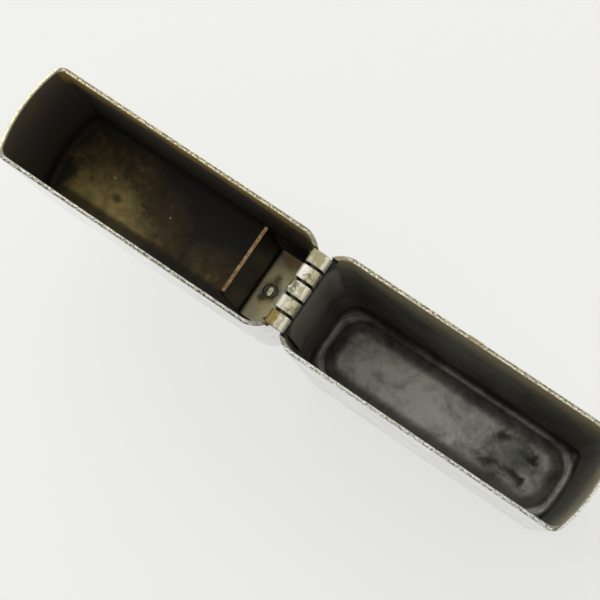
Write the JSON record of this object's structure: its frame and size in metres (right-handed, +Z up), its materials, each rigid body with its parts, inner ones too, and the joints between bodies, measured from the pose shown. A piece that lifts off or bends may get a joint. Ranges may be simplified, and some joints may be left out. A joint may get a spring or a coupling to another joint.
{
  "type": "hinged lighter case",
  "caption": "Empty drawn-metal outer case of a flip-top pocket lighter, standing upright with its hinged lid thrown fully open.",
  "frame": {"origin": "on the base plane, straight under the hinge axis, which is also the centre of the bounding box's base with the lid open", "axes": "+X from the hinge into the case, +Y towards the case's back, +Z up, out of both mouths"},
  "size_m": [0.0764, 0.0128, 0.038],
  "materials": {
    "shell_plate": "worn polished plate outside, tarnished and sooty inside",
    "hinge_metal": "bright rolled strip with brown stains",
    "plate_brass": "dull tarnished strip with a bright cut edge"
  },
  "bodies": {
    "case": {"case_shell": "shell_plate", "case_hinge_leaf": "hinge_metal"},
    "lid": {"lid_shell": "shell_plate", "lid_hinge_leaf": "hinge_metal", "hinge_pin": "hinge_metal", "stop_plate": "plate_brass"}
  },
  "joints": [
    {"name": "lid_hinge", "type": "hinge", "parent": "case", "child": "lid", "pos_m": [0, 0, 0.0368], "axis": [0, 1, 0], "range_deg": [0, 180]}
  ]
}
